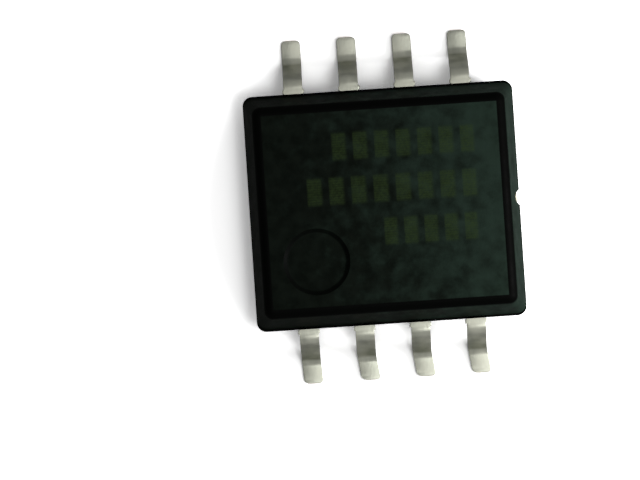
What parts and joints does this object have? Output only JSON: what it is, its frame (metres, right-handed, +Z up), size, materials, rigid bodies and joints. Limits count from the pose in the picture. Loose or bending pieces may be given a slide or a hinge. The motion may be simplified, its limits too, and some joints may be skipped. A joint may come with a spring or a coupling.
{
  "type": "soic chip",
  "caption": "Surface-mount small-outline chip: drafted black epoxy body with a round pin 1 dimple and two rows of gull-wing leads.",
  "frame": {"origin": "middle of the part's outline on the seating plane, where the soles of the leads rest", "axes": "+Z up, away from the board. +X along the rows of leads: lead 1 is at the low X end of the low Y row, and the leads are counted anticlockwise seen from above. +Y from leads 1 to 4 towards leads 5 to 8."},
  "size_m": [0.0062, 0.0078, 0.0019],
  "materials": {
    "epoxy": "spark-eroded mould texture on silica-filled black epoxy, smoother on the drafted walls",
    "tin_plate": "satin tin plating over stamped copper alloy, bare copper at the sheared tips",
    "copper": "rolled copper alloy, satin",
    "silver_adhesive": "cured silver-filled epoxy, grainy",
    "silicon": "polished silicon with a metal pattern on its top face",
    "gold_wire": "drawn gold"
  },
  "bodies": {
    "root": {"moulded_body": "epoxy", "lead_1": "tin_plate", "lead_2": "tin_plate", "lead_3": "tin_plate", "lead_4": "tin_plate", "lead_5": "tin_plate", "lead_6": "tin_plate", "lead_7": "tin_plate", "lead_8": "tin_plate", "die_pad": "copper", "die_attach": "silver_adhesive", "silicon_die": "silicon", "bond_wire_1": "gold_wire", "bond_wire_2": "gold_wire", "bond_wire_3": "gold_wire", "bond_wire_4": "gold_wire", "bond_wire_5": "gold_wire", "bond_wire_6": "gold_wire", "bond_wire_7": "gold_wire", "bond_wire_8": "gold_wire"}
  },
  "joints": []
}
